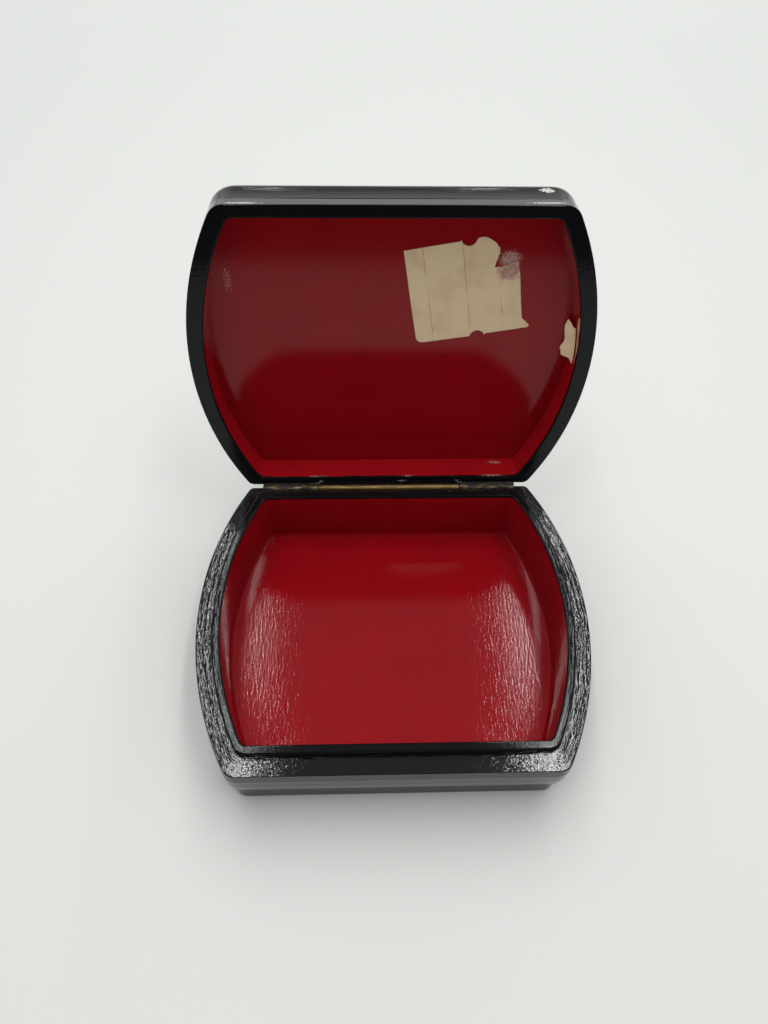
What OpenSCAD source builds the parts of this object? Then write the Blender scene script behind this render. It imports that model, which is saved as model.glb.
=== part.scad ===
// Small lacquered box with a hinged lid, straight at front and back and bowed at both sides.
// X runs across the box, Y from the front to the hinge, Z up. The origin is at the middle of
// the underside. The lid is drawn open, resting at the end of its travel.

/* [Outline] */
// Width across the widest part of the bowed sides
box_w = 65; // [60:1:80]
// Depth from the front to the hinge side
box_d = 52; // [48:1:56]
// Radius of the bowed sides
side_r = 52; // [46:1:70]
// Radius of the four upright outer corners
corner_r = 2.2; // [2:0.1:3.5]
// Radius of the upright corners of the red cavities
inner_corner_r = 1.3; // [0.8:0.1:2]

/* [Base] */
// Height of the flat ledge that the lid closes on
ledge_h = 13.5; // [11:0.5:24]
// Height of the recessed foot below the wall
foot_h = 6.2; // [4:0.1:8]
// How far the foot stands back from the wall above it
foot_inset = 0.75; // [0.3:0.05:1.2]
// Thickness of the bottom board
bottom_t = 2.3; // [1.6:0.1:3]
// Height of the locating lip above the ledge
lip_h = 1.4; // [0.8:0.1:2.2]
// Thickness of the inner sleeve, whose top edge is the lip
sleeve_t = 1.4; // [1:0.1:1.8]
// Width of the ledge beside the lip, at the bowed sides
ledge_side = 2.9; // [2.6:0.1:3.6]
// Width of the ledge in front of the lip
ledge_front = 3.2; // [2.6:0.1:4]
// Width of the strip between the lip and the back edge
ledge_back = 1.9; // [1.8:0.05:2.4]
// Radius of the cove between the red wall and the red floor
cove_r = 1.1; // [0.6:0.1:1.6]

/* [Lid] */
// Thickness of the lid's rim at the bowed sides
rim_side = 2.6; // [2:0.05:2.6]
// Thickness of the lid's rim at the front
rim_front = 1.95; // [1.6:0.05:2.4]
// Thickness of the lid's rim at the hinge side
rim_back = 1.6; // [1.5:0.05:1.65]
// Depth of the red tray inside the lid
tray_depth = 5; // [4:0.1:8]
// Height of the plain band next to the rim
band_h = 2.1; // [2:0.1:3.6]
// Height of the moulding that frames the top
moulding_h = 5.1; // [3.8:0.1:6]
// How far the moulding stands out from the band
moulding_proud = 0.35; // [0.1:0.05:0.5]
// Width of the moulding inside the line of the band
moulding_w = 1.3; // [1:0.05:1.35]
// Radius of the moulding's rounded outer edge
moulding_r = 1.5; // [0.5:0.1:1.5]
// Rise of the gently crowned top board
crown = 0.6; // [0.3:0.1:1.2]
// Gap between the closed rim and the ledge
seam_gap = 0.15; // [0.1:0.05:0.3]

/* [Hinge] */
// Angle of the lid when it is open on its stop
open_angle = 102.6; // [90:0.1:110]
// Outside radius of the hinge tube
tube_r = 0.9; // [0.8:0.05:0.95]
// Radius of the hinge pin
pin_r = 0.45; // [0.35:0.01:0.55]
// Running clearance of the pin in the lid's knuckle
pin_clearance = 0.05; // [0.02:0.01:0.08]
// Length of the middle knuckle
centre_knuckle_l = 25.6; // [18:0.1:30]
// Length of each outer knuckle
outer_knuckle_l = 10.1; // [6:0.1:10.5]
// Gap between neighbouring knuckles
knuckle_gap = 0.2; // [0.1:0.05:0.4]
// How far the hinge axis lies behind the back edge
axis_back = 0.3; // [0.1:0.05:0.4]
// How far the hinge axis lies below the ledge
axis_below = 0.85; // [0.85:0.05:1.3]
// Thickness of the lacquer bed around the middle knuckle
bed_t = 0.25; // [0.15:0.05:0.3]
// Clearance between the lacquer bed and the groove in the base
groove_clearance = 0.12; // [0.08:0.02:0.2]
// Width of the bead that closes the rim over the outer knuckles
bead_w = 0.45; // [0.3:0.05:0.5]
// Height of the bead below the rim
bead_h = 0.3; // [0.2:0.05:0.35]
// Clearance between the bead and the outer knuckles
bead_clearance = 0.04; // [0.02:0.01:0.08]

/* [Paper] */
// Thickness of the paper
paper_t = 0.12; // [0.08:0.01:0.2]
// Width of the paper label that is left in the lid
label_w = 17.2; // [12:0.1:18]
// Height of the paper label
label_h = 16; // [12:0.1:17]
// Turn of the label
label_turn = -10; // [-20:1:20]
// Radius of the notches in the label's long edges
label_notch_r = 1.3; // [0.5:0.1:2]
// Height of the paper scrap on the lid's wall
scrap_h = 3.4; // [2:0.1:3.8]
// Length of the paper scrap along the wall
scrap_l = 5.6; // [4:0.1:8]

/* [Hidden] */
$fn = 96;
arc_fn = 360;
cut = 1;

black = [0.03, 0.03, 0.035];
red = [0.5, 0.03, 0.05];
brass = [0.62, 0.5, 0.28];
paper = [0.72, 0.62, 0.46];

side_centre = side_r - box_w / 2;
hinge_y = box_d / 2 + axis_back;
hinge_z = ledge_h - axis_below;
rim_z = ledge_h + seam_gap;
ceiling_z = rim_z + tray_depth;
moulding_z = rim_z + band_h;
top_z = moulding_z + moulding_h;
sleeve_side = ledge_side + sleeve_t;
sleeve_front = ledge_front + sleeve_t;
sleeve_back = ledge_back + sleeve_t;
frame_corner_r = corner_r - moulding_w - moulding_proud;
label_at = [1.6, -16.7];
label_notch_x = 0.64 * label_w;
label_corner_r = 0.8;
scrap_y = -6;

// Centre of a rounded corner, for a side of radius r and an edge at depth y
function corner_centre(r, y, corner) = [sqrt(pow(r - corner, 2) - pow(y - corner, 2)) - side_centre, y - corner];

// What rounding takes off one sharp corner of the outline
module corner_cut(r, y, corner) {
    c = corner_centre(r, y, corner);
    a = atan2(c[1], c[0] + side_centre);
    t = [r * cos(a) - side_centre, r * sin(a)];
    difference() {
        polygon([c, t, [t[0] + corner, t[1]], [t[0] + corner, y + corner], [c[0], y + corner]]);
        translate(c) circle(corner);
    }
}

// Barrel outline, set in from the outer one by its own amount at the sides, front and back
module outline(side, front, back, corner) {
    r = side_r - side;
    y_front = box_d / 2 - front;
    y_back = box_d / 2 - back;
    difference() {
        intersection() {
            translate([-side_centre, 0]) circle(r, $fn = arc_fn);
            translate([side_centre, 0]) circle(r, $fn = arc_fn);
            translate([-box_w, -y_front]) square([2 * box_w, y_front + y_back]);
        }
        for (s = [0, 1]) mirror([s, 0]) {
            corner_cut(r, y_back, corner);
            mirror([0, 1]) corner_cut(r, y_front, corner);
        }
    }
}

// Solid of an outline between two heights
module slab(z0, z1) translate([0, 0, z0]) linear_extrude(z1 - z0) children();

// Outer line of the sleeve, against which the wall and foot are built
module sleeve_outline() outline(ledge_side, ledge_front, ledge_back, corner_r);

// Line of the red cavity in the base
module cavity_outline() outline(sleeve_side, sleeve_front, sleeve_back, inner_corner_r);

// Round bar along the hinge axis
module along_hinge(x0, length, r)
    translate([x0, hinge_y, hinge_z]) rotate([0, 90, 0]) cylinder(h = length, r = r);

// Channel for the hinge in the back edge of the base, open above and behind
module hinge_channel(x0, length, r) {
    along_hinge(x0, length, r);
    translate([x0, hinge_y - r, hinge_z]) cube([length, r + cut, ledge_h - hinge_z + cut]);
    translate([x0, hinge_y, hinge_z - r]) cube([length, r + cut, r + cut]);
}

// Turns what is drawn closed to the open position
module opened()
    translate([0, hinge_y, hinge_z]) rotate([-open_angle, 0, 0]) translate([0, -hinge_y, -hinge_z]) children();

module bottom_board() color(red) slab(0, bottom_t) sleeve_outline();

module foot_band() color(black) slab(0, foot_h) difference() {
    outline(foot_inset, foot_inset, foot_inset, corner_r);
    sleeve_outline();
}

module base_wall() color(black) difference() {
    slab(foot_h, ledge_h) difference() {
        outline(0, 0, 0, corner_r);
        sleeve_outline();
    }
    channel_l = centre_knuckle_l + 2 * knuckle_gap;
    seat_l = channel_l + 2 * outer_knuckle_l;
    hinge_channel(-seat_l / 2, seat_l, tube_r);
    hinge_channel(-channel_l / 2, channel_l, tube_r + bed_t + groove_clearance);
}

module inner_sleeve() color(red) slab(bottom_t, ledge_h + lip_h) difference() {
    sleeve_outline();
    cavity_outline();
}

// Section of the cove, with its corner at the foot of the wall
module cove_section() difference() {
    square(cove_r);
    translate([cove_r, cove_r]) circle(cove_r);
}

// Cove along a bowed side, from one mitre to the other
module side_cove() {
    r = side_r - sleeve_side;
    reach = asin((box_d / 2 - sleeve_front - inner_corner_r) / r);
    back_reach = asin((box_d / 2 - sleeve_back - inner_corner_r) / r);
    translate([-side_centre, 0, bottom_t]) rotate([0, 0, -reach])
        rotate_extrude(angle = reach + back_reach, $fn = arc_fn) translate([r, 0]) mirror([1, 0]) cove_section();
}

// Cove along a straight edge at depth y
module straight_cove(y, side_y) {
    half = corner_centre(side_r - sleeve_side, y, inner_corner_r)[0] - cove_r;
    translate([-half, side_y * y, bottom_t]) rotate([90, 0, 90]) linear_extrude(2 * half)
        mirror([side_y > 0 ? 1 : 0, 0]) cove_section();
}

module floor_cove() color(red) {
    side_cove();
    mirror([1, 0, 0]) side_cove();
    straight_cove(box_d / 2 - sleeve_front, -1);
    straight_cove(box_d / 2 - sleeve_back, 1);
}

// Brass tube along the hinge axis
module knuckle(x0, length, bore_r) color(brass) difference() {
    along_hinge(x0, length, tube_r);
    along_hinge(x0 - cut, length + 2 * cut, bore_r);
}

module hinge_knuckle_left()
    knuckle(-centre_knuckle_l / 2 - knuckle_gap - outer_knuckle_l, outer_knuckle_l, pin_r);

module hinge_knuckle_right() knuckle(centre_knuckle_l / 2 + knuckle_gap, outer_knuckle_l, pin_r);

module hinge_pin() color(brass) {
    pin_l = centre_knuckle_l + 2 * (knuckle_gap + outer_knuckle_l);
    along_hinge(-pin_l / 2, pin_l, pin_r);
}

// Lacquer that beds the middle knuckle to the lid's rim
module knuckle_bed() {
    r = tube_r + bed_t;
    intersection() {
        along_hinge(-centre_knuckle_l / 2, centre_knuckle_l, r);
        translate([-box_w / 2, hinge_y - r, hinge_z]) cube([box_w, 2 * r, r]);
    }
    translate([-centre_knuckle_l / 2, hinge_y - r, hinge_z])
        cube([centre_knuckle_l, r - axis_back, rim_z + seam_gap - hinge_z]);
}

// Bead that closes the rim over the outer knuckles, which turn inside it
module rim_bead() for (s = [0, 1]) mirror([s, 0, 0]) difference() {
    bead_l = knuckle_gap + outer_knuckle_l;
    translate([centre_knuckle_l / 2, box_d / 2 - bead_w, rim_z - bead_h])
        cube([bead_l, bead_w, bead_h + seam_gap]);
    along_hinge(centre_knuckle_l / 2 - cut, bead_l + 2 * cut, tube_r + bead_clearance);
}

module lid_wall() color(black) opened() difference() {
    union() {
        slab(rim_z, moulding_z) difference() {
            outline(0, 0, 0, corner_r);
            outline(rim_side, rim_front, rim_back, inner_corner_r);
        }
        slab(moulding_z, ceiling_z) difference() {
            frame_outline();
            outline(rim_side, rim_front, rim_back, inner_corner_r);
        }
        knuckle_bed();
        rim_bead();
    }
    along_hinge(-box_w / 2, box_w, tube_r);
}

// Section of a slab of the moulding's height, reach wide, with its outer top edge rounded
module rounded_section(reach) difference() {
    translate([0, moulding_z]) square([reach, moulding_h]);
    translate([reach - moulding_r, top_z - moulding_r]) difference() {
        square(moulding_r + cut);
        circle(moulding_r);
    }
}

// Disc with a rounded top edge, one bowed side of which is a side of the moulding
module rounded_disc() translate([-side_centre, 0, 0])
    rotate_extrude($fn = arc_fn) rounded_section(side_r + moulding_proud);

// Bar with rounded top edges, which are the front and the back of the moulding
module rounded_bar() for (s = [0, 1]) mirror([0, s, 0]) translate([-box_w, 0, 0])
    rotate([90, 0, 90]) linear_extrude(2 * box_w) rounded_section(box_d / 2 + moulding_proud);

// Line inside the moulding, which the top board fills
module frame_outline() outline(moulding_w, moulding_w, moulding_w, frame_corner_r);

module lid_moulding() color(black) opened() difference() {
    intersection() {
        slab(moulding_z, top_z) outline(-moulding_proud, -moulding_proud, -moulding_proud, corner_r);
        rounded_disc();
        mirror([1, 0, 0]) rounded_disc();
        rounded_bar();
    }
    slab(moulding_z - cut, top_z + cut) frame_outline();
}

// Height of the crowned top at a distance from its middle
function crown_z(x) = top_z + crown * (1 - pow(2 * x / box_w, 2));

// Round blank of the top board, crowned above
module crowned_blank() {
    blank_r = 0.6 * box_w;
    steps = 10;
    rotate_extrude($fn = arc_fn)
        polygon(concat([[0, ceiling_z], [blank_r, ceiling_z]],
            [for (i = [steps:-1:0]) [blank_r * i / steps, crown_z(blank_r * i / steps)]]));
}

module lid_top_board() color(black) opened() intersection() {
    slab(ceiling_z, top_z + crown + cut) frame_outline();
    crowned_blank();
}

module hinge_knuckle_centre() opened()
    knuckle(-centre_knuckle_l / 2, centre_knuckle_l, pin_r + pin_clearance);

module price_label() color(paper) opened() translate([label_at[0], label_at[1], ceiling_z - paper_t])
    rotate([0, 0, label_turn]) linear_extrude(paper_t) difference() {
        square([label_w, label_h]);
        for (y = [0, label_h]) translate([label_notch_x, y]) circle(label_notch_r);
        translate([0, label_h]) rotate(-90) difference() {
            square(label_corner_r);
            translate([label_corner_r, label_corner_r]) circle(label_corner_r);
        }
    }

module paper_scrap() color(paper) opened() {
    r = side_r - rim_side;
    reach = asin(scrap_l / 2 / r);
    turn = asin(scrap_y / r);
    translate([-side_centre, 0, ceiling_z - paper_t - scrap_h]) rotate([0, 0, turn - reach])
        rotate_extrude(angle = 2 * reach, $fn = arc_fn) translate([r - paper_t, 0]) square([paper_t, scrap_h]);
}

bottom_board();
foot_band();
base_wall();
inner_sleeve();
floor_cove();
hinge_knuckle_left();
hinge_knuckle_right();
hinge_pin();
lid_wall();
lid_moulding();
lid_top_board();
hinge_knuckle_centre();
price_label();
paper_scrap();
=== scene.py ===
# A small lacquered box with a hinged lid, standing open on a pale table.
# Black lacquer outside and on the rims, glossy red lacquer inside, a brass hinge, and an old
# paper label with a scrap of paper left in the lid. Lengths are in millimetres until a mesh is made.
import math

import bmesh
import bpy
import numpy as np
from mathutils import Matrix, Vector


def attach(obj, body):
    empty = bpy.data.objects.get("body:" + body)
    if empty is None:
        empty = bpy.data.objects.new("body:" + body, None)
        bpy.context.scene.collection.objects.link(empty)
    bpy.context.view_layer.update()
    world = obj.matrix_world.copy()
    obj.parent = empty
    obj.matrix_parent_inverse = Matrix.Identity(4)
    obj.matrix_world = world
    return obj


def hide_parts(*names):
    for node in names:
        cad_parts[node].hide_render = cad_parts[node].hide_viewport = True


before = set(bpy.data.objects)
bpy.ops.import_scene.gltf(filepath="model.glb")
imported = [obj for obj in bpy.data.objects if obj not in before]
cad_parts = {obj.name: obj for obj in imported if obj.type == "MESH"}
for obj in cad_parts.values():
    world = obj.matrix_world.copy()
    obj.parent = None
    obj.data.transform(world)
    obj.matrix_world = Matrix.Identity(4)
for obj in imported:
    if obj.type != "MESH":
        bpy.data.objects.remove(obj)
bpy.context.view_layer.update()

MM = 0.001

# Sizes: _Z is a height with the lid closed, _R a radius, _L a length, _W a width, _T a thickness

BOX_W, BOX_D, SIDE_R = 65.0, 52.0, 52.0
SIDE_CENTRE = SIDE_R - BOX_W / 2
LEDGE_Z, LIP_Z, STEP_Z, FLOOR_Z = 13.5, 14.9, 6.2, 2.3
RIM_Z, BAND_Z, CEILING_Z, TOP_Z = 13.56, 15.75, 18.65, 20.85
HINGE_Y, HINGE_Z, OPEN_ANGLE = 26.3, 12.65, math.radians(102.6)
TUBE_R, PIN_R = 0.9, 0.45
CENTRE_L, OUTER_L, KNUCKLE_GAP = 25.6, 10.1, 0.2
SEAT = CENTRE_L / 2 + KNUCKLE_GAP
BED_T, GROOVE_ROOM, BEAD_W = 0.25, 0.12, 0.45
PAPER_T = 0.11
COVE_R = 1.1
CROWN, FLOOR_DISH = 0.6, 0.2
ROUNDING_STEPS, GUARD = 5, 0.05
SHARP_ANGLE = math.radians(40)

# Each line of the outline is how far it is set in at the sides, the front and the back, and the
# radius of its front and back corners.
WALL = (0.0, 0.0, 0.0, 2.4, 1.0)
FOOT = (0.75, 0.75, 0.75, 2.2, 1.0)
SLEEVE = (2.9, 3.2, 1.9, 2.2, 1.8)
CAVITY = (4.3, 4.6, 3.3, 1.3, 1.5)
LID_WALL = (0.0, 0.0, 0.0, 2.8, 1.3)
TRAY = (2.6, 1.95, 1.6, 1.3, 1.3)
FRAME = (1.3, 1.3, 1.3, 0.55, 0.55)
LEDGE_EDGE = (0.25, 0.30, 0.0, 2.1, 1.0)


# Lines of the outline


def half_outline(line):
    """Right half of an outline from the middle of the front to the middle of the back."""
    side, front, back, corner, back_corner = line
    radius = SIDE_R - side
    found = []

    def corner_at(y, corner):
        along = math.sqrt((radius - corner) ** 2 - (y - corner) ** 2)
        return along - SIDE_CENTRE, y - corner, math.atan2(y - corner, along)

    y_front, y_back = BOX_D / 2 - front, BOX_D / 2 - back
    fx, fy, fa = corner_at(y_front, corner)
    bx, by, ba = corner_at(y_back, back_corner)
    found += [(fx * t, -y_front) for t in np.linspace(0, 1, 20)[:-1]]
    found += [(fx + corner * math.cos(a), -fy + corner * math.sin(a))
              for a in np.linspace(-math.pi / 2, -fa, 9)[:-1]]
    found += [(radius * math.cos(a) - SIDE_CENTRE, radius * math.sin(a))
              for a in np.linspace(-fa, ba, 45)]
    found += [(bx + back_corner * math.cos(a), by + back_corner * math.sin(a))
              for a in np.linspace(ba, math.pi / 2, 9)[1:]]
    found += [(bx * t, y_back) for t in np.linspace(1, 0, 20)[1:]]
    return found


def outline(line):
    half = half_outline(line)
    return np.array(half + [(-x, y) for x, y in reversed(half[1:-1])])


def shifted(line, out):
    side, front, back, corner, back_corner = line
    return side - out, front - out, back - out, max(corner + out, 0.05), max(back_corner + out, 0.05)


def rounded_rows(corners):
    """Rows of a profile whose corners are (line, height, radius), with guards beside each rounding."""
    points = [np.array((-line[1], z)) for line, z, _ in corners]
    rows = []
    for i, (line, z, radius) in enumerate(corners):
        here = points[i]
        if radius == 0:
            rows.append((line, z))
            continue
        before = points[i - 1] - here
        after = points[(i + 1) % len(points)] - here
        before, after = before / np.linalg.norm(before), after / np.linalg.norm(after)
        half = math.acos(np.clip(before @ after, -1, 1)) / 2
        reach = radius / math.tan(half)
        middle = (before + after) / np.linalg.norm(before + after) * radius / math.sin(half)
        first, last = before * reach - middle, after * reach - middle
        turn = math.atan2(first[0] * last[1] - first[1] * last[0], first @ last)
        steps_here = [before * (reach + GUARD)]
        for t in np.linspace(0, 1, ROUNDING_STEPS + 1):
            c, s = math.cos(turn * t), math.sin(turn * t)
            turned = np.array((c * first[0] - s * first[1], s * first[0] + c * first[1]))
            steps_here.append(middle + turned)
        steps_here.append(after * (reach + GUARD))
        rows += [(shifted(line, d[0]), z + d[1]) for d in steps_here]
    return rows


# Mesh making


def opened(points):
    """Turns points of the closed lid about the hinge to where the lid stands open."""
    p = np.array(points, float)
    c, s = math.cos(OPEN_ANGLE), math.sin(OPEN_ANGLE)
    y, z = p[:, 1] - HINGE_Y, p[:, 2] - HINGE_Z
    return np.column_stack((p[:, 0], HINGE_Y + y * c + z * s, HINGE_Z - y * s + z * c))


def make_piece(name, points, faces, strokes, material, lid=False, smooth=True, inside=None):
    """One mesh piece. Its own coordinates, closed and in millimetres, stay on it for the materials."""
    points = np.array(points, float)
    mesh = bpy.data.meshes.new(name)
    mesh.from_pydata([tuple(p) for p in (opened(points) if lid else points) * MM], [], faces)
    mesh.validate()
    plain = mesh.attributes.new("plain", "FLOAT_VECTOR", "POINT")
    plain.data.foreach_set("vector", points.astype(np.float32).ravel())
    along = mesh.attributes.new("stroke", "FLOAT_VECTOR", "CORNER")
    along.data.foreach_set("vector", np.array(strokes, np.float32).ravel())
    red_side = mesh.attributes.new("inside", "FLOAT", "POINT")
    if inside is None:
        inside = np.zeros(len(points))
    red_side.data.foreach_set("value", np.array(inside, np.float32))
    mesh.materials.append(material)
    if smooth:
        mesh.shade_smooth()
    piece = bpy.data.objects.new(name, mesh)
    bpy.context.scene.collection.objects.link(piece)
    face_outwards(mesh)
    if smooth:
        mesh.set_sharp_from_angle(angle=SHARP_ANGLE)
    return piece


def row_faces(start, rows, count, closed=False):
    """Faces between rows of points, each row a loop. Closed joins the last row to the first."""
    faces = []
    for i in range(rows if closed else rows - 1):
        a, b = start + i * count, start + (i + 1) % rows * count
        faces += [(a + k, a + (k + 1) % count, b + (k + 1) % count, b + k) for k in range(count)]
    return faces


def face_outwards(mesh):
    work = bmesh.new()
    work.from_mesh(mesh)
    bmesh.ops.recalc_face_normals(work, faces=work.faces)
    work.to_mesh(mesh)
    work.free()


def ring_mesh(rows):
    """Points, faces and brush strokes of a profile carried round the box."""
    loops = [outline(line) for line, _ in rows]
    count = len(loops[0])
    points = np.vstack([np.column_stack((loop, np.full(count, z)))
                        for loop, (_, z) in zip(loops, rows)])
    widest = outline(WALL)
    steps = np.linalg.norm(np.roll(widest, -1, 0) - widest, axis=1)
    along = np.concatenate(([0], np.cumsum(steps)))
    across = [0.0]
    for i in range(len(rows)):
        a, b = rows[i], rows[(i + 1) % len(rows)]
        across.append(across[-1] + math.hypot(a[0][1] - b[0][1], a[1] - b[1]))
    strokes = [(along[u], across[v], 0) for i in range(len(rows)) for k in range(count)
               for u, v in ((k, i), (k + 1, i), (k + 1, i + 1), (k, i + 1))]
    return points, row_faces(0, len(rows), count, closed=True), strokes


def ring(name, corners, material, lid=False, inside_from=None):
    """A closed ring. Rows set in further than inside_from at the front are on its inner side."""
    rows = rounded_rows(corners)
    count = len(outline(WALL))
    inside = None
    if inside_from is not None:
        inside = np.repeat([1.0 if line[1] > inside_from else 0.0 for line, _ in rows], count)
    return make_piece(name, *ring_mesh(rows), material, lid, inside=inside)


def board(name, bottom_line, bottom_z, top_line, top_z, material, lid=False, rise=0.0, dish=0.0):
    """A board with the outline's shape, flat below, and crowned by rise or dished by dish above."""
    rings = 30
    count = len(outline(bottom_line))
    points, faces = [], []

    def cap(line, z, rise, dish):
        edge_loop = outline(line)
        start = len(points)
        for i in range(rings):
            t = 1 - (i / rings) ** 1.5
            loop = edge_loop * t
            away = np.linalg.norm(loop, axis=1)
            height = z + rise * (1 - (2 * away / BOX_W) ** 2) + dish * (0.5 * t ** 2 + 0.9 * t ** 14)
            points.extend(np.column_stack((loop, height)))
        points.append(np.array((0, 0, z + rise)))
        faces.extend(row_faces(start, rings, count))
        last = start + (rings - 1) * count
        faces.extend((last + k, last + (k + 1) % count, last + count) for k in range(count))
        return start

    low = cap(bottom_line, bottom_z, 0, 0)
    high = cap(top_line, top_z, rise, dish)
    for k in range(count):
        m = (k + 1) % count
        faces.append((low + k, low + m, high + m, high + k))
    strokes = [(points[v][1], points[v][0], 0) for f in faces for v in f]
    return make_piece(name, points, faces, strokes, material, lid, inside=np.ones(len(points)))


def turned_points(profile, count):
    """Points of a profile (x, radius) carried round the hinge's axis."""
    angles = [2 * math.pi * k / count for k in range(count)]
    return [(x, HINGE_Y + r * math.cos(a), HINGE_Z + r * math.sin(a))
            for x, r in profile for a in angles]


def tube(name, x0, length, material, bore, lid=False):
    """A knuckle of the hinge: a length of brass tube with softened ends."""
    count, soft, x1 = 48, 0.08, x0 + length
    ease = soft * 0.3
    profile = [(x0, bore), (x0, TUBE_R - soft), (x0 + ease, TUBE_R - ease), (x0 + soft, TUBE_R)]
    profile += [(x, TUBE_R) for x in np.linspace(x0 + soft, x1 - soft, 40)[1:-1]]
    profile += [(x1 - soft, TUBE_R), (x1 - ease, TUBE_R - ease), (x1, TUBE_R - soft), (x1, bore)]
    rows = len(profile)
    strokes = [(profile[u % rows][0], v * 2 * math.pi * TUBE_R / count, 0)
               for i in range(rows) for k in range(count)
               for u, v in ((i, k), (i, k + 1), (i + 1, k + 1), (i + 1, k))]
    faces = row_faces(0, rows, count, closed=True)
    return make_piece(name, turned_points(profile, count), faces, strokes, material, lid)


def cut_away(piece, cutter):
    """Takes the cutter's solid out of the piece."""
    modifier = piece.modifiers.new("cut", "BOOLEAN")
    modifier.operation, modifier.solver, modifier.object = "DIFFERENCE", "EXACT", cutter
    graph = bpy.context.evaluated_depsgraph_get()
    made = bpy.data.meshes.new_from_object(piece.evaluated_get(graph))
    piece.modifiers.clear()
    old, piece.data = piece.data, made
    name = old.name
    bpy.data.meshes.remove(old)
    made.name = name
    bpy.data.objects.remove(cutter)


def cutter_from(points, faces):
    mesh = bpy.data.meshes.new("cutter")
    mesh.from_pydata([tuple(np.array(p) * MM) for p in points], [], faces)
    face_outwards(mesh)
    made = bpy.data.objects.new("cutter", mesh)
    bpy.context.scene.collection.objects.link(made)
    return made


def channel_cutter(half_length, r):
    """Solid of the hinge's channel in the back edge, open above and behind."""
    section = [(HINGE_Y - r, LEDGE_Z + 1), (HINGE_Y - r, HINGE_Z)]
    section += [(HINGE_Y - r * math.cos(a), HINGE_Z - r * math.sin(a))
                for a in np.linspace(0, math.pi / 2, 13)[1:]]
    section += [(HINGE_Y + 3, HINGE_Z - r), (HINGE_Y + 3, LEDGE_Z + 1)]
    n = len(section)
    points = [(-half_length, y, z) for y, z in section] + [(half_length, y, z) for y, z in section]
    faces = [tuple(range(n)), tuple(range(2 * n - 1, n - 1, -1))]
    faces += [(i, i + n, (i + 1) % n + n, (i + 1) % n) for i in range(n)]
    return cutter_from(points, faces)


# Node helpers


def add_node(tree, kind, values=None, **settings):
    made = tree.nodes.new(kind)
    for key, value in settings.items():
        setattr(made, key, value)
    for key, value in (values or {}).items():
        if isinstance(value, bpy.types.NodeSocket):
            tree.links.new(value, made.inputs[key])
        else:
            made.inputs[key].default_value = value
    return made


def math_node(tree, operation, a, b=0.0, c=0.0):
    return add_node(tree, "ShaderNodeMath", {0: a, 1: b, 2: c}, operation=operation).outputs[0]


def vector_node(tree, operation, a, b=(0, 0, 0)):
    return add_node(tree, "ShaderNodeVectorMath", {0: a, 1: b}, operation=operation)


def mapped(tree, value, low, high, to_low=0.0, to_high=1.0, smooth=True):
    kind = "SMOOTHSTEP" if smooth else "LINEAR"
    made = add_node(tree, "ShaderNodeMapRange", {0: value, 1: low, 2: high, 3: to_low, 4: to_high},
                    interpolation_type=kind)
    return made.outputs[0]


def mixed(tree, factor, a, b):
    made = add_node(tree, "ShaderNodeMix", {0: factor, 6: a, 7: b}, data_type="RGBA")
    return made.outputs[2]


def noise(tree, vector, scale, detail, roughness):
    made = add_node(tree, "ShaderNodeTexNoise",
                    {"Vector": vector, "Scale": scale, "Detail": detail, "Roughness": roughness})
    return made.outputs[0]


def stretched(tree, vector, scale):
    made = add_node(tree, "ShaderNodeMapping", {"Vector": vector, "Scale": scale})
    return made.outputs[0]


def new_group(name, inputs, outputs):
    group = bpy.data.node_groups.new(name, "ShaderNodeTree")
    for socket, kind, value in inputs:
        made = group.interface.new_socket(name=socket, in_out="INPUT", socket_type=kind)
        if value is not None:
            made.default_value = value
    for socket, kind in outputs:
        group.interface.new_socket(name=socket, in_out="OUTPUT", socket_type=kind)
    return group, group.nodes.new("NodeGroupInput"), group.nodes.new("NodeGroupOutput")


def use_group(tree, group, values):
    return add_node(tree, "ShaderNodeGroup", values, node_tree=group).outputs[0]


def new_material(name):
    material = bpy.data.materials.new(name)
    material.use_nodes = True
    tree = material.node_tree
    return material, tree, tree.nodes["Principled BSDF"]


def attribute(tree, name):
    made = add_node(tree, "ShaderNodeAttribute", attribute_name=name, attribute_type="GEOMETRY")
    return made.outputs["Vector"]


FLOAT, VECTOR = "NodeSocketFloat", "NodeSocketVector"


def brush_marks_group():
    """Height of brush strokes that run along the piece, and of the grain of the lacquer over them."""
    group, given, out = new_group(
        "brush_marks",
        [("Strokes", VECTOR, None), ("Place", VECTOR, None), ("Streak", FLOAT, 1.0),
         ("Fine", FLOAT, 1.0), ("Grain", FLOAT, 1.0)],
        [("Height", FLOAT)])
    wide = noise(group, stretched(group, given.outputs["Strokes"], (0.07, 1.5, 1)), 1.0, 2, 0.5)
    fine = noise(group, stretched(group, given.outputs["Strokes"], (0.5, 2.8, 1)), 1.0, 1, 0.5)
    grain = noise(group, given.outputs["Place"], 2.6, 1, 0.5)
    total = math_node(group, "MULTIPLY", wide, given.outputs["Streak"])
    total = math_node(group, "MULTIPLY_ADD", fine, given.outputs["Fine"], total)
    total = math_node(group, "MULTIPLY_ADD", grain, given.outputs["Grain"], total)
    group.links.new(total, out.inputs[0])
    return group


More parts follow.
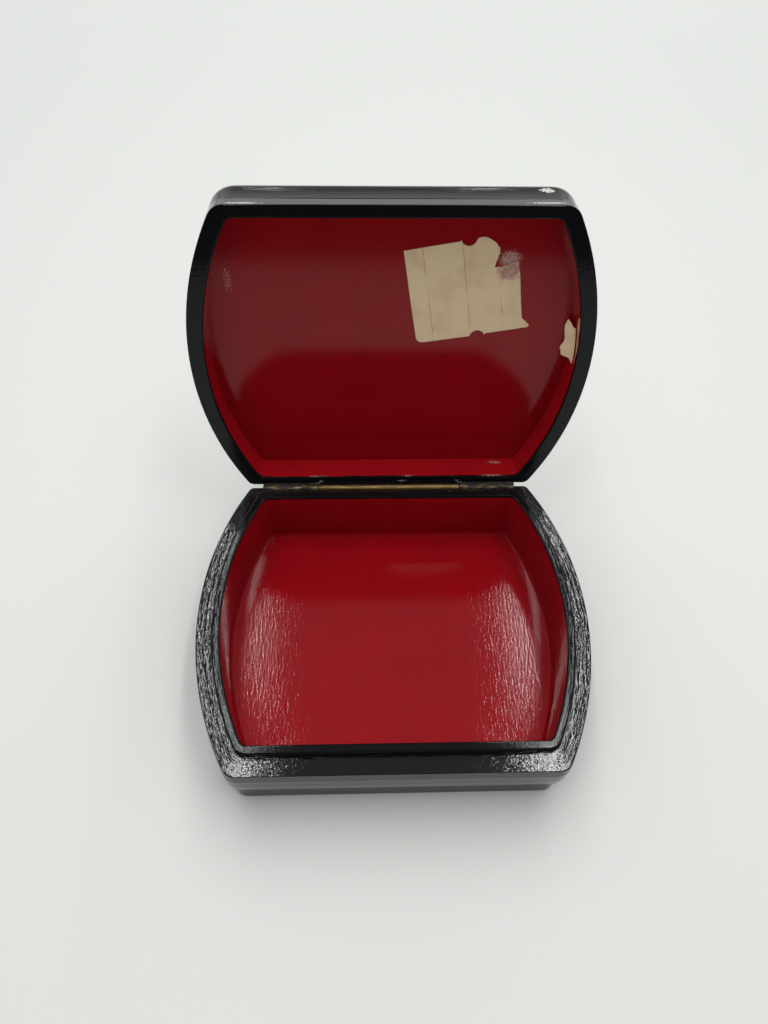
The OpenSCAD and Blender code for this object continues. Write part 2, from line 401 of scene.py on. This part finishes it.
def painted_line_group():
    """Mask of the red side of a hand-painted edge, from a height on the piece."""
    group, given, out = new_group(
        "painted_line",
        [("Distance", FLOAT, 0.0), ("Place", VECTOR, None), ("Waver", FLOAT, 0.3)], [("Red", FLOAT)])
    slow = noise(group, given.outputs["Place"], 0.35, 2, 0.5)
    quick = noise(group, given.outputs["Place"], 2.0, 2, 0.6)
    waver = math_node(group, "ADD", math_node(group, "SUBTRACT", slow, 0.5),
                      math_node(group, "MULTIPLY", math_node(group, "SUBTRACT", quick, 0.5), 0.4))
    moved = math_node(group, "ADD", given.outputs["Distance"],
                      math_node(group, "MULTIPLY", waver, given.outputs["Waver"]))
    group.links.new(mapped(group, moved, -0.03, 0.03), out.inputs[0])
    return group


def wear_and_highlight_patch_group():
    """Mask of a patch round a place on the piece, used for chips and scuffs and for painted highlights.
    Fade softens its edge.
    """
    threshold = 0.78
    group, given, out = new_group(
        "wear_and_highlight_patch",
        [("Place", VECTOR, None), ("Centre", VECTOR, None), ("Size", VECTOR, (1, 1, 1)),
         ("Amount", FLOAT, 0.5), ("Fade", FLOAT, 0.08)],
        [("Wear_and_highlight", FLOAT)])
    away = vector_node(group, "SUBTRACT", given.outputs["Place"], given.outputs["Centre"]).outputs[0]
    share = vector_node(group, "DIVIDE", away, given.outputs["Size"]).outputs[0]
    far = vector_node(group, "LENGTH", share).outputs["Value"]
    near = mapped(group, far, 1.0, 0.2)
    rough = noise(group, given.outputs["Place"], 3.0, 4, 0.7)
    picked = math_node(group, "ADD", rough, math_node(group, "MULTIPLY", near, given.outputs["Amount"]))
    end = math_node(group, "ADD", given.outputs["Fade"], threshold)
    found = mapped(group, picked, threshold, end)
    found = math_node(group, "MULTIPLY", found, mapped(group, near, 0.0, 0.1))
    group.links.new(found, out.inputs[0])
    return group


BRUSH_MARKS = brush_marks_group()
PAINTED_LINE = painted_line_group()
WEAR_AND_HIGHLIGHT_PATCH = wear_and_highlight_patch_group()

BLACK = (0.0045, 0.005, 0.006, 1)
BRASS, BROWN_BRASS, OLD_PAINT = (0.42, 0.29, 0.12, 1), (0.15, 0.105, 0.05, 1), (0.012, 0.011, 0.010, 1)
CUT_PAPER = (0.30, 0.22, 0.13, 1)
# The way across the label, at right angles to its cut lines.
LABEL_ACROSS = (0.9865, -0.1638, 0.0)


# Materials


def patched(tree, place, color, patches):
    """The colour with patches over it, some of wear and some painted highlights: each has a centre,
    size, amount, fade and colour.
    """
    for centre, size, amount, fade, patch_color in patches:
        values = {"Place": place, "Centre": centre, "Size": size, "Amount": amount, "Fade": fade}
        color = mixed(tree, use_group(tree, WEAR_AND_HIGHLIGHT_PATCH, values), color, patch_color)
    return color


def height_of(tree, place):
    return add_node(tree, "ShaderNodeSeparateXYZ", {0: place}).outputs[2]


def relief_of(tree, shader, height, strength, depth):
    """Links a height to the shader's normal, as relief of this depth in metres."""
    values = {"Height": height, "Strength": strength, "Distance": depth}
    relief = add_node(tree, "ShaderNodeBump", values)
    tree.links.new(relief.outputs[0], shader.inputs["Normal"])


def brushed(tree, strokes, place, streak, fine, grain):
    values = {"Strokes": strokes, "Place": place, "Streak": streak, "Fine": fine, "Grain": grain}
    return use_group(tree, BRUSH_MARKS, values)


def lacquer(name, streak, fine, grain, rough, gloss, red=None, red_above=None, red_below=None,
            thick_above=None, patches=()):
    """Hand-painted lacquer: black, red, or black with red past a painted line at a height.

    Streak, fine and grain are the brush marks. Above thick_above a thicker coat shines more.
    """
    material, tree, shader = new_material(name)
    strokes, place = attribute(tree, "stroke"), attribute(tree, "plain")
    marks = brushed(tree, strokes, place, streak, fine, grain)
    if red is None:
        color = BLACK
    elif red_above is None and red_below is None:
        color = red
    else:
        if red_above is not None:
            distance = math_node(tree, "SUBTRACT", height_of(tree, place), red_above)
        else:
            distance = math_node(tree, "SUBTRACT", red_below, height_of(tree, place))
        line = use_group(tree, PAINTED_LINE, {"Distance": distance, "Place": place, "Waver": 0.55})
        inner = add_node(tree, "ShaderNodeAttribute", attribute_name="inside").outputs["Fac"]
        inner = math_node(tree, "GREATER_THAN", inner, 0.5)
        red_side = math_node(tree, "MULTIPLY", line, inner)
        color = mixed(tree, red_side, BLACK, red)
    tone = noise(tree, place, 0.12, 3, 0.6)
    color = mixed(tree, mapped(tree, tone, 0.3, 0.75, 0.0, 0.12, False), color, (0.0, 0.0, 0.0, 1))
    rubbed = noise(tree, strokes, 0.8, 3, 0.6)
    roughness = mapped(tree, rubbed, 0.3, 0.7, rough * 0.8, rough * 1.25, False)
    color = patched(tree, place, color, patches)
    tree.links.new(color, shader.inputs["Base Color"])
    tree.links.new(roughness, shader.inputs["Roughness"])
    relief_of(tree, shader, marks, 1.0, 0.0001)
    shader.inputs["IOR"].default_value = gloss
    if thick_above is not None:
        coat = mapped(tree, height_of(tree, place), thick_above, thick_above + 0.15, 0, 0.75)
        tree.links.new(coat, shader.inputs["Coat Weight"])
        shader.inputs["Coat Roughness"].default_value = rough
    return material


def worn_brass(name, paint):
    """Old brass, brown in places. Paint sets how much black paint is left over it."""
    material, tree, shader = new_material(name)
    strokes, place = attribute(tree, "stroke"), attribute(tree, "plain")
    patina = noise(tree, stretched(tree, strokes, (0.22, 3.2, 1)), 1.0, 4, 0.65)
    color = mixed(tree, mapped(tree, patina, 0.38, 0.66), BRASS, BROWN_BRASS)
    left = noise(tree, stretched(tree, strokes, (0.55, 2.2, 1)), 1.0, 5, 0.7)
    painted = mapped(tree, left, 0.66 - 0.22 * paint, 0.70 - 0.22 * paint)
    color = mixed(tree, painted, color, OLD_PAINT)
    metal = math_node(tree, "SUBTRACT", 1.0, painted)
    tree.links.new(color, shader.inputs["Base Color"])
    tree.links.new(metal, shader.inputs["Metallic"])
    tree.links.new(mapped(tree, patina, 0.3, 0.7, 0.38, 0.6, False), shader.inputs["Roughness"])
    relief_of(tree, shader, brushed(tree, strokes, place, 0.5, 0.3, 0.2), 0.5, 0.00015)
    return material


def aged_paper(name, light, scores=(), patches=()):
    """Tan paper with fibres and faint stains. Light scales its colours, and scores are the places
    of the cut lines across it."""
    material, tree, shader = new_material(name)
    place = attribute(tree, "plain")
    stain = noise(tree, place, 0.25, 4, 0.6)
    fibre = noise(tree, stretched(tree, place, (1.0, 3.0, 1)), 3.0, 4, 0.7)
    tan = (0.66 * light, 0.53 * light, 0.34 * light, 1)
    brown = (0.58 * light, 0.45 * light, 0.28 * light, 1)
    color = mixed(tree, mapped(tree, stain, 0.42, 0.7), tan, brown)
    pale = (0.74 * light, 0.62 * light, 0.44 * light, 1)
    color = mixed(tree, mapped(tree, fibre, 0.55, 0.75, 0, 0.25), color, pale)
    cut = fibre
    for score in scores:
        across = vector_node(tree, "DOT_PRODUCT", place, LABEL_ACROSS).outputs["Value"]
        away = math_node(tree, "ABSOLUTE", math_node(tree, "SUBTRACT", across, score))
        line = mapped(tree, away, 0.09, 0.03)
        line = math_node(tree, "MULTIPLY", line, mapped(tree, stain, 0.42, 0.52, 0.15, 0.75))
        color = mixed(tree, line, color, CUT_PAPER)
        cut = math_node(tree, "SUBTRACT", cut, line)
    color = patched(tree, place, color, patches)
    tree.links.new(color, shader.inputs["Base Color"])
    shader.inputs["Roughness"].default_value = 0.85
    shader.inputs["Specular IOR Level"].default_value = 0.2
    relief_of(tree, shader, cut, 0.4, 0.00008)
    return material


# White of a scuff on the moulding that is also a painted highlight.
WHITE_SCUFF_AND_HIGHLIGHT = (0.55, 0.54, 0.52, 1)
WHITE_SMEAR = (0.34, 0.32, 0.31, 1)
# Grey of the painted highlights along the lid's band.
GREY_PAINTED_HIGHLIGHT = (0.4, 0.4, 0.38, 1)
# Pink of the painted highlights along the lid's painted red edge.
PINK_PAINTED_HIGHLIGHT = (0.45, 0.27, 0.27, 1)

LEDGE_LACQUER = lacquer("black_lacquer_ledge", 0.42, 0.32, 0.10, rough=0.07, gloss=1.54)
BED_LACQUER = lacquer(
    "bed_lacquer", 0.3, 0.3, 0.3, rough=0.12, gloss=1.5,
    patches=(((-12.8, 25.4, 13.5), (1.5, 2.0, 1.3), 0.55, 0.6, WHITE_SMEAR),
             ((12.8, 25.4, 13.5), (1.5, 2.0, 1.3), 0.55, 0.6, WHITE_SMEAR),
             ((2.4, 25.2, 13.6), (1.8, 1.5, 1.0), 0.50, 0.5, WHITE_SMEAR)))
FOOT_LACQUER = lacquer("black_lacquer_foot", 0.30, 0.20, 0.10, rough=0.14, gloss=1.25)
LINING_LACQUER = lacquer(
    "lining_lacquer", 0.14, 0.10, 0.05, rough=0.08, gloss=1.31,
    red=(0.27, 0.0032, 0.008, 1), red_below=LIP_Z - 0.45)
FLOOR_LACQUER = lacquer(
    "red_lacquer_floor", 0.02, 0.105, 0.075, rough=0.06, gloss=1.43, red=(0.33, 0.004, 0.009, 1))
LID_LACQUER = lacquer(
    "lid_rim_lacquer", 0.10, 0.06, 0.08, rough=0.09, gloss=1.29,
    red=(0.40, 0.006, 0.012, 1), red_above=RIM_Z + 0.40, thick_above=RIM_Z + 0.2,
    patches=(((-25.7, -14.0, 17.0), (2.0, 4.5, 3.0), 0.30, 0.08, (0.42, 0.10, 0.11, 1)),
             # The two grey patches on the lid's lower band are painted highlights, glints along its
             # edge.
             ((21.5, -26.0, 14.5), (6.0, 1.5, 0.7), 0.40, 0.12, GREY_PAINTED_HIGHLIGHT),
             ((-21.5, -26.0, 14.2), (5.5, 1.5, 0.6), 0.42, 0.12, GREY_PAINTED_HIGHLIGHT),
             # These pinkish patches by the hinge, along the red edge, are painted highlights.
             ((-13.0, 24.4, 13.95), (4.0, 1.2, 0.5), 0.38, 0.25, PINK_PAINTED_HIGHLIGHT),
             ((3.5, 24.4, 13.95), (1.8, 1.2, 0.5), 0.42, 0.25, PINK_PAINTED_HIGHLIGHT),
             ((19.0, 24.4, 13.95), (4.5, 1.2, 0.6), 0.40, 0.25, PINK_PAINTED_HIGHLIGHT),
             ((20.0, 24.4, 17.6), (2.8, 1.2, 0.8), 0.42, 0.25, PINK_PAINTED_HIGHLIGHT)))
MOULDING_LACQUER = lacquer(
    "moulding_lacquer", 0.25, 0.12, 0.12, rough=0.12, gloss=1.36,
    # A white scuff on the moulding's front corner, partly a painted highlight.
    patches=(((21.9, -26.3, 18.4), (2.2, 2.0, 1.1), 0.42, 0.08, WHITE_SCUFF_AND_HIGHLIGHT),))
# The board's red is the same red paint set darker, as painted shade: the lid's ceiling faces the dim
# front of the room.
CEILING_LACQUER = lacquer(
    "lid_board_lacquer", 0.06, 0.03, 0.04, rough=0.09, gloss=1.32,
    red=(0.218, 0.0028, 0.006, 1), red_below=CEILING_Z + 0.4,
    patches=(((18.0, -15.6, 18.65), (3.4, 2.8, 2.0), 0.56, 0.5, (0.44, 0.33, 0.31, 1)),
             ((-25.6, -12.0, 18.65), (1.6, 5.5, 2.0), 0.33, 0.2, (0.40, 0.16, 0.17, 1))))
PAINTED_BRASS = worn_brass("worn_painted_brass", 0.95)
BARE_BRASS = worn_brass("dark_patina_brass", 0.15)
DARK_BRASS = worn_brass("blackened_pin", 1.6)
LABEL_PAPER = aged_paper(
    "aged_label_paper", 0.97, scores=(7.2, 13.3, 18.6),
    patches=(((18.2, -14.0, 18.6), (4.2, 3.6, 2.0), 0.56, 0.35, (0.33, 0.17, 0.15, 1)),))
SCRAP_PAPER = aged_paper("torn_paper", 1.38)


# Base


def build_base():
    inner_face = shifted(SLEEVE, -0.05)
    wall = ring("base_wall_lacquer", [
        (inner_face, LEDGE_Z, 0), (LEDGE_EDGE, LEDGE_Z, 0.14), (WALL, LEDGE_Z - 1.9, 1.6),
        (WALL, LEDGE_Z - 4.6, 3.0), (shifted(WALL, -0.25), STEP_Z, 0.25),
        (shifted(FOOT, -0.6), STEP_Z + 0.02, 0), (inner_face, STEP_Z + 0.02, 0)], LEDGE_LACQUER)
    cut_away(wall, channel_cutter(SEAT + OUTER_L, TUBE_R + 0.02))
    cut_away(wall, channel_cutter(SEAT, TUBE_R + BED_T + GROOVE_ROOM))
    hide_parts("base_wall")
    foot = ring("foot_lacquer", [
        (inner_face, STEP_Z + 0.01, 0), (FOOT, STEP_Z + 0.01, 0), (FOOT, 0.0, 0.35),
        (inner_face, 0.0, 0)], FOOT_LACQUER)
    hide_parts("foot_band")
    cove = [(shifted(CAVITY, -COVE_R * (1 - math.cos(a))), FLOOR_Z + COVE_R * (1 - math.sin(a)), 0)
            for a in np.linspace(0, math.pi / 2, 9)[1:-1]]
    cove_end = shifted(CAVITY, -COVE_R)
    lining = ring("red_lining_and_lip", [
        (SLEEVE, FLOOR_Z, 0), (SLEEVE, LIP_Z, 0.28), (CAVITY, LIP_Z, 0.30),
        (CAVITY, FLOOR_Z + COVE_R, 0), *cove, (cove_end, FLOOR_Z + 0.001, 0),
        (cove_end, FLOOR_Z - 0.3, 0)], LINING_LACQUER, inside_from=4.2)
    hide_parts("inner_sleeve", "floor_cove")
    floor_line = shifted(CAVITY, 0.2)
    floor = board("red_floor_board", floor_line, 0.0, floor_line, FLOOR_Z, FLOOR_LACQUER,
                  dish=FLOOR_DISH)
    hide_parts("bottom_board")
    return [wall, foot, lining, floor]


# Lid


def flared(out):
    """The lid's outline, out by this much at the front, less at the back and not at the sides.
    A negative one sets it in all round."""
    return -min(out, 0.0), -out, -min(out, 0.35), 4.2 + out, 1.2


def build_lid():
    shell = ring("lid_wall_lacquer", [
        (TRAY, CEILING_Z, 0), (TRAY, RIM_Z, 0.22), (LID_WALL, RIM_Z, 0.15), (LID_WALL, BAND_Z, 0.12),
        (FRAME, BAND_Z, 0), (FRAME, CEILING_Z, 0)], LID_LACQUER, lid=True, inside_from=1.7)
    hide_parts("lid_wall")
    rounding = np.radians((0, 12, 24, 36, 48, 60, 70, 80, 90))
    face = [(0.6, 0.01), (1.2, 0.03), (1.8, 0.08), (2.4, 0.15), (3.0, 0.26)]
    face += [(3.3 + 1.8 * math.sin(a), 0.33 - 1.3 * (1 - math.cos(a))) for a in rounding]
    moulding = ring("lid_moulding_lacquer", [
        (FRAME, BAND_Z + 0.01, 0), (flared(0), BAND_Z + 0.01, 0.14),
        *[(flared(out), BAND_Z + z, 0) for z, out in face], (FRAME, TOP_Z, 0)],
        MOULDING_LACQUER, lid=True)
    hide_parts("lid_moulding")
    top = board("lid_top_board_lacquer", FRAME, CEILING_Z - 0.001, FRAME, TOP_Z, CEILING_LACQUER,
                lid=True, rise=CROWN)
    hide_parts("lid_top_board")
    return [shell, moulding, top]


# Hinge


def bar_along(points, faces, strokes, x_start, x_end, section, lump):
    """Adds a bar with this section (y, z) along the hinge, swollen by lump(x) away from the axis."""
    spacing = 0.2
    stations = np.linspace(x_start, x_end, max(2, int(abs(x_end - x_start) / spacing)))
    n, start = len(section), len(points)
    for x in stations:
        for y, z in section:
            away = math.hypot(y - HINGE_Y, z - HINGE_Z)
            grow = 1 + (lump(x) / away if away > TUBE_R + 0.05 else 0)
            points.append((x, HINGE_Y + (y - HINGE_Y) * grow, HINGE_Z + (z - HINGE_Z) * grow))
    made = [tuple(range(start, start + n)), tuple(range(len(points) - 1, len(points) - 1 - n, -1))]
    made += row_faces(start, len(stations), n)
    faces += made
    for f in made:
        strokes += [(points[v][0], points[v][1] + points[v][2], 0) for v in f]


def about_axis(radius, start, end, steps):
    """Points (y, z) of an arc round the hinge's axis. An angle of zero is straight up."""
    return [(HINGE_Y + radius * math.sin(a), HINGE_Z + radius * math.cos(a))
            for a in np.linspace(start, end, steps)]


def build_bed():
    """Lacquer that beds the middle knuckle in the lid's rim, and the bead over the outer knuckles."""
    r, back, rim = TUBE_R + BED_T, BOX_D / 2, RIM_Z + 0.1
    bed = [(HINGE_Y - r, HINGE_Z + 0.02), (HINGE_Y - r, rim), (back, rim)]
    bed += about_axis(r, 0.1, math.pi / 2, 8)
    bed += about_axis(TUBE_R, math.pi / 2, -math.pi / 2, 14)
    bead = [(back - BEAD_W, RIM_Z - 0.3), (back - BEAD_W, rim), (back, rim)]
    bead += about_axis(TUBE_R + 0.04, -0.325, -0.75, 5)

    def lump(x):
        middle = 0.16 * math.exp(-((x - 3.0) / 0.9) ** 2)
        ends = 0.14 * math.exp(-((abs(x) - 12.4) / 0.5) ** 2)
        return min(middle + ends + 0.02 * math.sin(2.1 * x) + 0.015 * math.sin(5.3 * x + 1), 0.08)

    points, faces, strokes = [], [], []
    bar_along(points, faces, strokes, -CENTRE_L / 2, CENTRE_L / 2, bed, lump)
    for side in (-1, 1):
        end = SEAT + OUTER_L - 0.08
        bar_along(points, faces, strokes, side * CENTRE_L / 2, side * end, bead, lambda x: 0.0)
    return make_piece("knuckle_bed_lacquer", points, faces, strokes, BED_LACQUER, lid=True,
                      smooth=False)


def build_pin(half_length):
    count, soft, tip_r = 24, 0.12, 0.3
    profile = [(-half_length, tip_r), (-half_length + soft, PIN_R),
               (half_length - soft, PIN_R), (half_length, tip_r)]
    points = turned_points(profile, count)
    faces = [tuple(range(count)), tuple(range(3 * count, 4 * count))] + row_faces(0, 4, count)
    strokes = [(points[v][0], points[v][1], 0) for f in faces for v in f]
    return make_piece("hinge_pin_brass", points, faces, strokes, DARK_BRASS)


def build_hinge():
    """Three knuckles, which reach into the gaps and leave only a hair's breadth, on their pin."""
    reach = (KNUCKLE_GAP - 0.03) / 2
    outer_bore = PIN_R + 0.01
    left = tube("hinge_knuckle_left_brass", -SEAT - OUTER_L, OUTER_L + reach, PAINTED_BRASS, outer_bore)
    right = tube("hinge_knuckle_right_brass", SEAT - reach, OUTER_L + reach, PAINTED_BRASS, outer_bore)
    centre = tube("hinge_knuckle_centre_brass", -CENTRE_L / 2 - reach, CENTRE_L + 2 * reach, BARE_BRASS,
                  PIN_R + 0.05, lid=True)
    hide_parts("hinge_knuckle_left")
    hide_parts("hinge_knuckle_right")
    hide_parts("hinge_knuckle_centre")
    pin = build_pin(SEAT + OUTER_L - 0.1)
    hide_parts("hinge_pin")
    bed = build_bed()
    return [left, right, pin], [centre, bed]


# Paper


def sheet_piece(name, edge, thickness, lift, material):
    """A thin sheet with this outline on the lid's ceiling, lifted off it by lift(x)."""
    longest = 1.2
    flat = bmesh.new()
    loop = [flat.verts.new((x, y, 0)) for x, y in edge]
    flat.faces.new(loop)
    bmesh.ops.triangulate(flat, faces=flat.faces[:])
    for _ in range(4):
        long_edges = [e for e in flat.edges if e.calc_length() > longest]
        bmesh.ops.subdivide_edges(flat, edges=long_edges, cuts=1)
        bmesh.ops.triangulate(flat, faces=flat.faces[:])
    bmesh.ops.recalc_face_normals(flat, faces=flat.faces[:])
    flat.verts.index_update()
    top = [tuple(v.co) for v in flat.verts]
    tris = [tuple(v.index for v in f.verts) for f in flat.faces]
    rim = [(e.verts[0].index, e.verts[1].index) for e in flat.edges if e.is_boundary]
    flat.free()
    n = len(top)
    points = [(x, y, CEILING_Z - lift(x)) for x, y, _ in top]
    points += [(x, y, CEILING_Z - lift(x) - thickness) for x, y, _ in top]
    faces = list(tris) + [tuple(i + n for i in reversed(t)) for t in tris]
    faces += [(a, b, b + n, a + n) for a, b in rim]
    strokes = [(points[v][0], points[v][1], 0) for f in faces for v in f]
    return make_piece(name, points, faces, strokes, material, lid=True, smooth=False)


def arc(centre, radius, start, end):
    return [(centre[0] + radius * math.cos(a), centre[1] + radius * math.sin(a))
            for a in map(math.radians, np.linspace(start, end, 8))]


def build_label():
    """The price label, lying flat but for its right end, which has come loose."""
    edge = [(1.57, -16.95), (2.2, -13.2), (2.76, -9.57), (4.07, -1.9), (4.25, -1.45), (4.6, -1.16),
            (5.1, -1.05), (5.8, -1.12), (12.87, -2.2)]
    edge += arc((14.15, -2.05), 1.25, 195, 340)
    edge += [(15.48, -2.75), (20.0, -3.5), (22.17, -3.93), (22.5, -4.3), (21.9, -4.9), (21.15, -5.5),
             (20.6, -8.4), (20.2, -10.95), (19.8, -13.4), (19.3, -15.3), (18.2, -15.0), (17.0, -14.5),
             (15.7, -14.3), (16.0, -15.7), (16.3, -16.6), (16.2, -17.5), (15.5, -18.3), (14.6, -18.9),
             (14.05, -19.15), (13.3, -19.18), (12.7, -18.95)]
    edge += arc((11.42, -19.0), 1.25, 10, 165)
    edge += [(10.1, -18.45), (6.0, -17.75)]

    def lift(x):
        return 0.01 + 0.10 * max(0.0, (x - 20.2) / 2) ** 2

    label = sheet_piece("price_label_paper", edge, PAPER_T, lift, LABEL_PAPER)
    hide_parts("price_label")
    return label


def build_scrap():
    """A torn curl of paper that stands in the corner of the lid's right side."""
    across, along = 9, 26
    points, faces = [], []
    for through in (0, PAPER_T):
        for i in range(along):
            t = i / (along - 1)
            y = -5.2 + 6.1 * t
            wall_x = math.sqrt((SIDE_R - TRAY[0]) ** 2 - y * y) - SIDE_CENTRE
            tail = 0.9 * math.exp(-((t - 0.78) / 0.13) ** 2)
            width = 1.7 + 0.25 * math.sin(7 * t) + tail - 0.5 * max(0.0, 1 - 6 * t)
            for k in range(across):
                s = k / (across - 1)
                bend = math.radians(100 * s)
                reach = width * 0.75 * (1 - math.cos(bend)) * 0.7
                height = 3.4 * (1 - s) * (0.75 + 0.25 * math.sin(2.2 * t))
                x = wall_x - 0.12 - reach - through * math.cos(bend)
                z = CEILING_Z - height - 0.25 - through * math.sin(bend)
                points.append((x, y + 0.25 * math.sin(5 * s + 3 * t), z))
    n = along * across
    for i in range(along - 1):
        for k in range(across - 1):
            a = i * across + k
            faces.append((a, a + 1, a + across + 1, a + across))
            faces.append((a + n, a + n + across, a + n + across + 1, a + n + 1))
    for i in range(along - 1):
        for k in (0, across - 1):
            a = i * across + k
            faces.append((a, a + across, a + across + n, a + n))
    for k in range(across - 1):
        for i in (0, along - 1):
            a = i * across + k
            faces.append((a, a + 1, a + 1 + n, a + n))
    strokes = [(points[v][0], points[v][1], 0) for f in faces for v in f]
    scrap = make_piece("paper_scrap_curl", points, faces, strokes, SCRAP_PAPER, lid=True)
    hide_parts("paper_scrap")
    return scrap


# The studio, in metres

LIGHTS_Y = 0.40
# Two panels light the box and aren't mirrored in it. The thin lamps are. Each line of the tables is
# a place from left to right and a radiance.
PANEL_Z, PANEL_W, PANEL_L = 0.66, 0.30, 1.2
PANELS = ((-0.198, 1.35), (0.248, 1.35))
LAMP_Z, LAMP_W, LAMP_L = 0.6, 0.004, 1.1
LAMPS = ((-0.134, 36), (-0.121, 38), (-0.108, 20), (-0.095, 5),
         (0.178, 40), (0.166, 46), (0.153, 28), (0.140, 8))
ROOM_LOW, ROOM_HIGH = (0.86, 0.87, 0.86, 1), (0.27, 0.275, 0.28, 1)
TABLE_HALF = 3.0
# The table's colour darkens from near the box to far from it: painted shade where less light falls.
TABLE_NEAR, TABLE_FAR = (0.71, 0.725, 0.695, 1), (0.62, 0.635, 0.61, 1)
CARD_HALF, CARD_Y, CARD_LOW, CARD_HIGH = 0.35, -0.17, 0.001, 0.6
CAMERA_PLACE = (-0.00524, -0.05559, 0.12997)
PITCH, YAW, ROLL = math.radians(56.81), math.radians(3.125), math.radians(2.13)
FOCAL_PX, PHOTO_H_PX, SENSOR = 774, 1024, 36


def flat_object(name, points, material):
    mesh = bpy.data.meshes.new(name)
    mesh.from_pydata(points, [], [(0, 1, 2, 3)])
    mesh.materials.append(material)
    made = bpy.data.objects.new(name, mesh)
    bpy.context.scene.collection.objects.link(made)
    return made


def build_table():
    material, tree, shader = new_material("pale_table")
    place = add_node(tree, "ShaderNodeTexCoord").outputs["Object"]
    far = vector_node(tree, "LENGTH", place).outputs["Value"]
    # Painted shade: the table darkens with distance from the box.
    color = mixed(tree, mapped(tree, far, 0.03, 0.25), TABLE_NEAR, TABLE_FAR)
    tree.links.new(color, shader.inputs["Base Color"])
    shader.inputs["Roughness"].default_value = 0.7
    shader.inputs["Specular IOR Level"].default_value = 0.1
    s = TABLE_HALF
    table = flat_object("table", [(-s, -s, 0), (s, -s, 0), (s, s, 0), (-s, s, 0)], material)


def build_dark_card():
    """A dark card before the box, which only shows in reflections: the dim side of the room."""
    material, _, shader = new_material("dark_card")
    shader.inputs["Base Color"].default_value = (0.02, 0.02, 0.02, 1)
    shader.inputs["Roughness"].default_value = 1.0
    card = flat_object("dark_card", [
        (-CARD_HALF, CARD_Y, CARD_LOW), (CARD_HALF, CARD_Y, CARD_LOW),
        (CARD_HALF, CARD_Y, CARD_HIGH), (-CARD_HALF, CARD_Y, CARD_HIGH)], material)
    card.visible_camera = False
    card.visible_shadow = False
    card.visible_diffuse = False


def hanging_light(name, x, z, width, length, radiance, mirrored):
    """A light above and behind the box, facing down. A mirrored one shows in the lacquer."""
    lamp = bpy.data.lights.new(name, "AREA")
    lamp.shape, lamp.size, lamp.size_y = "RECTANGLE", width, length
    lamp.energy = radiance * math.pi * width * length
    made = bpy.data.objects.new(name, lamp)
    made.location = (x, LIGHTS_Y, z)
    made.visible_glossy = mirrored
    made.rotation_euler = Vector((0, 0, -z)).to_track_quat("-Z", "Y").to_euler()
    bpy.context.scene.collection.objects.link(made)


def build_light():
    for name, (x, radiance) in zip(("panel_left", "panel_right"), PANELS):
        hanging_light(name, x, PANEL_Z, PANEL_W, PANEL_L, radiance, mirrored=False)
    for i, (x, radiance) in enumerate(LAMPS):
        hanging_light(f"tube_{i}", x, LAMP_Z, LAMP_W, LAMP_L, radiance, mirrored=True)
    world = bpy.data.worlds.new("room")
    bpy.context.scene.world = world
    world.use_nodes = True
    tree = world.node_tree
    background = tree.nodes["Background"]
    direction = add_node(tree, "ShaderNodeTexCoord").outputs["Generated"]
    color = mixed(tree, mapped(tree, height_of(tree, direction), 0.25, 0.7), ROOM_LOW, ROOM_HIGH)
    tree.links.new(color, background.inputs["Color"])
    background.inputs["Strength"].default_value = 1.0


def build_camera():
    camera = bpy.data.cameras.new("camera")
    camera.lens, camera.sensor_width, camera.sensor_fit = FOCAL_PX * SENSOR / PHOTO_H_PX, SENSOR, "AUTO"
    camera.clip_start, camera.clip_end = 0.005, 20
    forward = Vector((math.cos(PITCH) * math.sin(YAW), math.cos(PITCH) * math.cos(YAW),
                      -math.sin(PITCH)))
    level = Vector((math.cos(YAW), -math.sin(YAW), 0))
    upright = level.cross(forward)
    right = level * math.cos(ROLL) + upright * math.sin(ROLL)
    up = upright * math.cos(ROLL) - level * math.sin(ROLL)
    turned = Matrix((right, up, -forward)).transposed().to_4x4()
    made = bpy.data.objects.new("camera", camera)
    made.matrix_world = Matrix.Translation(CAMERA_PLACE) @ turned
    bpy.context.scene.collection.objects.link(made)
    bpy.context.scene.camera = made


# Put together

base_pieces = build_base()
lid_pieces = build_lid()
base_hinge, lid_hinge = build_hinge()
label, scrap = build_label(), build_scrap()
for piece in base_pieces + base_hinge:
    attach(piece, "base")
for piece in lid_pieces + lid_hinge + [label, scrap]:
    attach(piece, "lid")

build_table()
build_dark_card()
build_light()
build_camera()
bpy.context.scene.view_settings.view_transform = "Standard"
